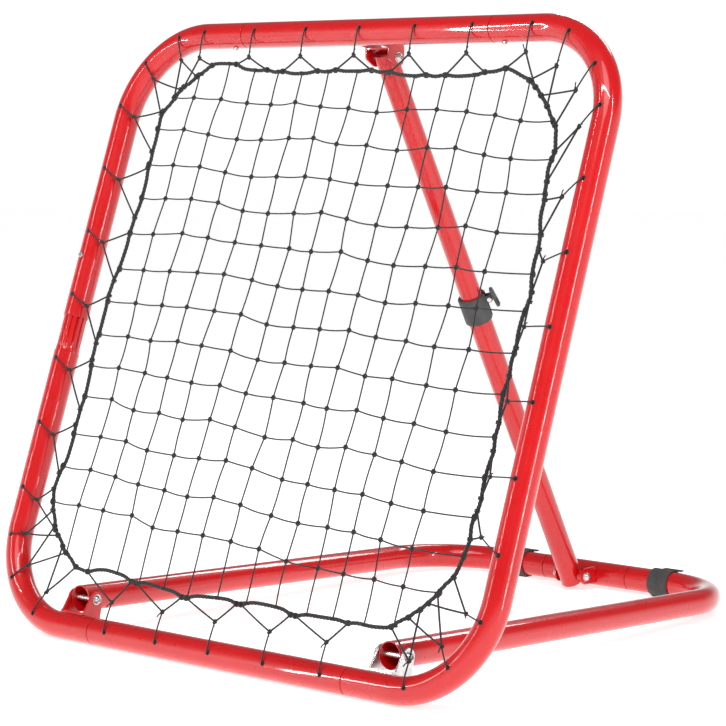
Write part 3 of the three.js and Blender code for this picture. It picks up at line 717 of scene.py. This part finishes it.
def net(loop):
    """Square knotted mesh: every knot a little off its place, every side a little slack."""
    knots = {}
    for i in range(NET_KNOTS):
        for j in range(NET_KNOTS):
            a, b = i / (NET_KNOTS - 1), j / (NET_KNOTS - 1)
            low = NET_LOW_LEFT.lerp(NET_LOW_RIGHT, a)
            spot = low.lerp(NET_HIGH_LEFT.lerp(NET_HIGH_RIGHT, a), b)
            wave = KNOT_DRIFT * math.sin(0.9 * i + 0.5 * j) + random.uniform(-KNOT_DRIFT, KNOT_DRIFT)
            sag = 0.0026 * math.sin(0.7 * j + 1.3 * i) + random.uniform(-KNOT_DRIFT, KNOT_DRIFT)
            belly = NET_BELLY * math.sin(math.pi * a) * math.sin(math.pi * b)
            knots[i, j] = (spot.x + wave, spot.y + sag, belly + random.uniform(-0.0008, 0.0008))
    place = {key: on_frame(x, NET_Y + deep, z) for key, (x, z, deep) in knots.items()}
    buffer = Buffer()

    def side(start, end, level):
        sag = -UP * random.uniform(0.0004, 0.0018) if level else ACROSS * random.uniform(-0.0009, 0.0009)
        buffer.tube(bowed(start, end, sag + BACK * random.uniform(-0.0008, 0.0008), 5), STRAND_R, 6)

    for (i, j), spot in place.items():
        x, z, _ = knots[i, j]
        for step, level in (((1, 0), True), ((0, 1), False)):
            for sense in (1, -1):
                other = (i + sense * step[0], j + sense * step[1])
                if other in place:
                    if sense > 0:
                        side(spot, place[other], level)
                    continue
                low, high = crossings(loop, 1 if level else 0, z if level else x)
                reach = high if sense > 0 else low
                edge = on_frame(reach, NET_Y, z) if level else on_frame(x, NET_Y, reach)
                side(spot, edge, level)
                buffer.lump(edge, (0.0024, 0.0050, 0.0050) if level else (0.0050, 0.0050, 0.0024),
                            (ACROSS, BACK, UP), 6, 8, 0.06)
        turn = random.uniform(-0.3, 0.3)
        first = (ACROSS * math.cos(turn) + UP * math.sin(turn)).normalized()
        second = first.cross(BACK).normalized()
        buffer.lump(spot, (0.0031, 0.0024, 0.0034), (first, BACK, second), 6, 9)
        slant = (first + second).normalized()
        buffer.hoop(spot, slant, BACK, 0.0026, 0.00085, 6, 10)
    return buffer.piece("net", NET_CORD, "main_frame", "black_cord", ["net_mesh"])


# ---------------------------------------------------------------- bolts and nuts
def lathe_x(name, centre, profile, body, node=None, hexagon=None, degrees=32):
    """A zinc form turned about X through centre, from (x, radius) pairs, cut to a hexagon's half width."""
    sides = 48
    verts, faces = [], []
    for x, radius in profile:
        for k in range(sides):
            a = 2 * math.pi * k / sides
            r = min(radius, hexagon / math.cos((a % (math.pi / 3)) - math.pi / 6)) if hexagon else radius
            verts.append(Vector((x, centre.y + r * math.cos(a), centre.z + r * math.sin(a))))
    for i in range(len(profile) - 1):
        for k in range(sides):
            n = (k + 1) % sides
            faces.append((i * sides + k, (i + 1) * sides + k, (i + 1) * sides + n, i * sides + n))
    last = (len(profile) - 1) * sides
    faces.append(tuple(range(sides)))
    faces.append(tuple(last + k for k in reversed(range(sides))))
    smooth(new_piece(name, verts, faces, ZINC, body, [node] if node else []), degrees)


def pivot_bolt(name, body):
    """A socket button-head bolt with a washer, and a chamfered nut with a nylon collar on its far end."""
    low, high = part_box(name + "_pivot_bolt")
    centre = middle(name + "_pivot_bolt")
    top = high[0]
    seat = top - BOLT_HEAD
    thread = [(low[0] + 0.0008 + 0.0004 * i, BOLT_R - (0.00035 if i % 2 else 0.0)) for i in range(16)]
    profile = [(low[0], BOLT_R - 0.0008), *thread, (seat, BOLT_R), (seat, 0.0052), (seat + 0.0004, 0.0056),
               (seat + 0.0016, 0.0055), (seat + 0.0031, 0.0050), (seat + 0.0043, 0.0040), (top, 0.0030),
               (top, 0.0024), (top - 0.0026, 0.0022)]
    lathe_x(name + "_bolt_skin", centre, profile, body, name + "_pivot_bolt")
    washer = [(seat - 0.0005, BOLT_R + 0.0002), (seat - 0.0005, 0.0066), (seat + 0.0003, 0.0068),
              (seat + 0.0003, BOLT_R + 0.0002)]
    lathe_x(name + "_washer", centre, washer, body)
    near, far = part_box(name + "_pivot_nut")[0][0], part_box(name + "_pivot_nut")[1][0]
    nut = [(far, 0.0062), (far, 0.0066), (far - 0.0008, 0.0075), (near + 0.0022, 0.0075),
           (near + 0.0014, 0.0066), (near + 0.0013, 0.0055), (near + 0.0002, 0.0051), (near, 0.0043)]
    lathe_x(name + "_nut_skin", centre, nut, body, name + "_pivot_nut", hexagon=0.0064, degrees=25)


# ---------------------------------------------------------------- brackets, clamp and feet
def softened(node, material, body, width=0.0005):
    """The CAD piece again with its corners rolled over, as pressed plate and mouldings have them."""
    mesh = bpy.data.meshes.new(node + "_skin")
    form = bmesh.new()
    form.from_mesh(frame["nodes"][node].data)
    bmesh.ops.remove_doubles(form, verts=form.verts, dist=1e-6)
    bmesh.ops.dissolve_limit(form, angle_limit=math.radians(2), verts=form.verts, edges=form.edges)
    edges = [e for e in form.edges if len(e.link_faces) == 2 and e.calc_face_angle(0) > math.radians(38)]
    bmesh.ops.bevel(form, geom=edges, offset=width, segments=3, profile=0.6, affect="EDGES",
                    clamp_overlap=True)
    form.to_mesh(mesh)
    form.free()
    piece = bpy.data.objects.new(node + "_skin", mesh)
    bpy.context.scene.collection.objects.link(piece)
    dress(piece, material, body, [node])
    smooth(piece, 32)


def lever_ribs():
    """Thumb ribs across the lever's outer face."""
    turn = math.radians(30)
    out = ACROSS * math.cos(turn) + STRUT_BACK * math.sin(turn)
    side = -ACROSS * math.sin(turn) + STRUT_BACK * math.cos(turn)
    flare = math.tan(math.radians(8))
    buffer = Buffer()
    for i in range(5):
        down = 0.0030 + 0.0022 * i
        centre = REAR_PIVOT + STRUT_UP * (LEVER_TOP - down) + out * (0.0315 + down * flare)
        rib = bowed(centre - side * 0.0045, centre + side * 0.0045, out * 0.0001, 4)
        buffer.tube(rib, 0.0006, 10, side_axis=out)
    buffer.piece("lever_ribs", PLASTIC, "clamp_lever", "black_plastic")


# ---------------------------------------------------------------- camera, light and floor
def camera():
    data = bpy.data.cameras.new("camera")
    data.lens = LENS
    data.sensor_width = SENSOR
    made = bpy.data.objects.new("camera", data)
    bpy.context.scene.collection.objects.link(made)
    made.location = BAR + CAMERA_PLACE
    ahead = Vector((-math.sin(CAMERA_HEADING), math.cos(CAMERA_HEADING), 0))
    look = ahead * math.cos(CAMERA_PITCH) - Vector((0, 0, math.sin(CAMERA_PITCH)))
    made.rotation_mode = "QUATERNION"
    made.rotation_quaternion = look.to_track_quat("-Z", "Y")
    bpy.context.scene.camera = made


def area_light(name, place, aim, size, power):
    data = bpy.data.lights.new(name, "AREA")
    data.shape = "RECTANGLE"
    data.size, data.size_y = size
    data.energy = power
    made = bpy.data.objects.new(name, data)
    made.location = place
    made.rotation_mode = "QUATERNION"
    made.rotation_quaternion = (Vector(aim) - Vector(place)).to_track_quat("-Z", "Y")
    bpy.context.scene.collection.objects.link(made)


def studio():
    world = bpy.data.worlds.new("studio")
    world.use_nodes = True
    tree = world.node_tree
    direction = tree.nodes.new("ShaderNodeTexCoord").outputs["Generated"]
    split = tree.nodes.new("ShaderNodeSeparateXYZ")
    tree.links.new(direction, split.inputs["Vector"])
    ramp = tree.nodes.new("ShaderNodeValToRGB")
    ramp.color_ramp.elements[0].position = 0.10
    ramp.color_ramp.elements[0].color = (1, 1, 1, 1)
    ramp.color_ramp.elements[1].position = 0.34
    ramp.color_ramp.elements[1].color = (0.16, 0.16, 0.165, 1)
    tree.links.new(split.outputs["Z"], ramp.inputs["Fac"])
    tree.links.new(ramp.outputs["Color"], tree.nodes["Background"].inputs["Color"])
    tree.nodes["Background"].inputs["Strength"].default_value = 1.05
    bpy.context.scene.world = world
    bpy.context.scene.view_settings.view_transform = "Standard"
    sun = bpy.data.lights.new("sun", "SUN")
    sun.energy = 0.75
    sun.angle = math.radians(35)
    made = bpy.data.objects.new("sun", sun)
    made.rotation_mode = "QUATERNION"
    made.rotation_quaternion = Vector((-0.30, 0.62, -0.85)).to_track_quat("-Z", "Y")
    bpy.context.scene.collection.objects.link(made)
    area_light("strip_left", (-1.9, -2.6, 1.3), (0, 0, 0.4), (0.05, 2.6), 22)
    area_light("strip_right", (2.9, -0.4, 1.3), (0, 0, 0.4), (0.07, 2.6), 30)
    area_light("strip_high", (0.6, -1.6, 2.4), (0, 0, 0.4), (2.6, 0.05), 20)
    area_light("rim", (-0.6, 2.4, 2.2), (0, 0.1, 0.4), (1.8, 0.3), 18)
    mesh = bpy.data.meshes.new("floor")
    mesh.from_pydata([(-12, -12, 0), (12, -12, 0), (12, 12, 0), (-12, 12, 0)], [], [(0, 1, 2, 3)])
    floor = bpy.data.objects.new("floor", mesh)
    bpy.context.scene.collection.objects.link(floor)
    nodes = Nodes("pale_floor", (0.93, 0.93, 0.93), 0.7)
    nodes.color(nodes.noise(3, 2), (0.92, 0.92, 0.92), (0.94, 0.94, 0.94))
    nodes.shader.inputs["Emission Color"].default_value = (1, 1, 1, 1)
    nodes.shader.inputs["Emission Strength"].default_value = 0.62
    mesh.materials.append(nodes.material)


# ---------------------------------------------------------------- assembly
camera()
studio()

cutter = lacing_cutters()
frame_tubes(cutter)
bpy.data.objects.remove(cutter)
ground_tubes()
strut_tubes()
spigots()
crimped_end()

rope_line, leg_places, rope_length = rope_and_legs()
border_rope(rope_line, rope_length)
laces(rope_line, leg_places)
net(rope_line)

for pivot, pivot_body in (("left", "main_frame"), ("right", "main_frame"), ("top", "main_frame"),
                          ("rear", "ground_frame")):
    pivot_bolt(pivot, pivot_body)

softened("left_bracket", RED, "main_frame")
softened("right_bracket", ZINC, "main_frame")
softened("top_bracket", RED, "main_frame")
softened("rear_bracket", RED, "ground_frame")
softened("clamp_collar", PLASTIC, "strut_lower", 0.0006)
softened("clamp_lever", PLASTIC, "clamp_lever", 0.0006)
softened("rear_sleeve", RED, "ground_frame", 0.0003)
softened("clamp_pin", ZINC, "strut_lower", 0.0002)
softened("foot_left", RUBBER, "ground_frame", 0.0006)
softened("foot_right", RUBBER, "ground_frame", 0.0006)
for small in ("top_left_screw", "top_right_screw", "left_button"):
    softened(small, ZINC, "main_frame", 0.0003)
lever_ribs()
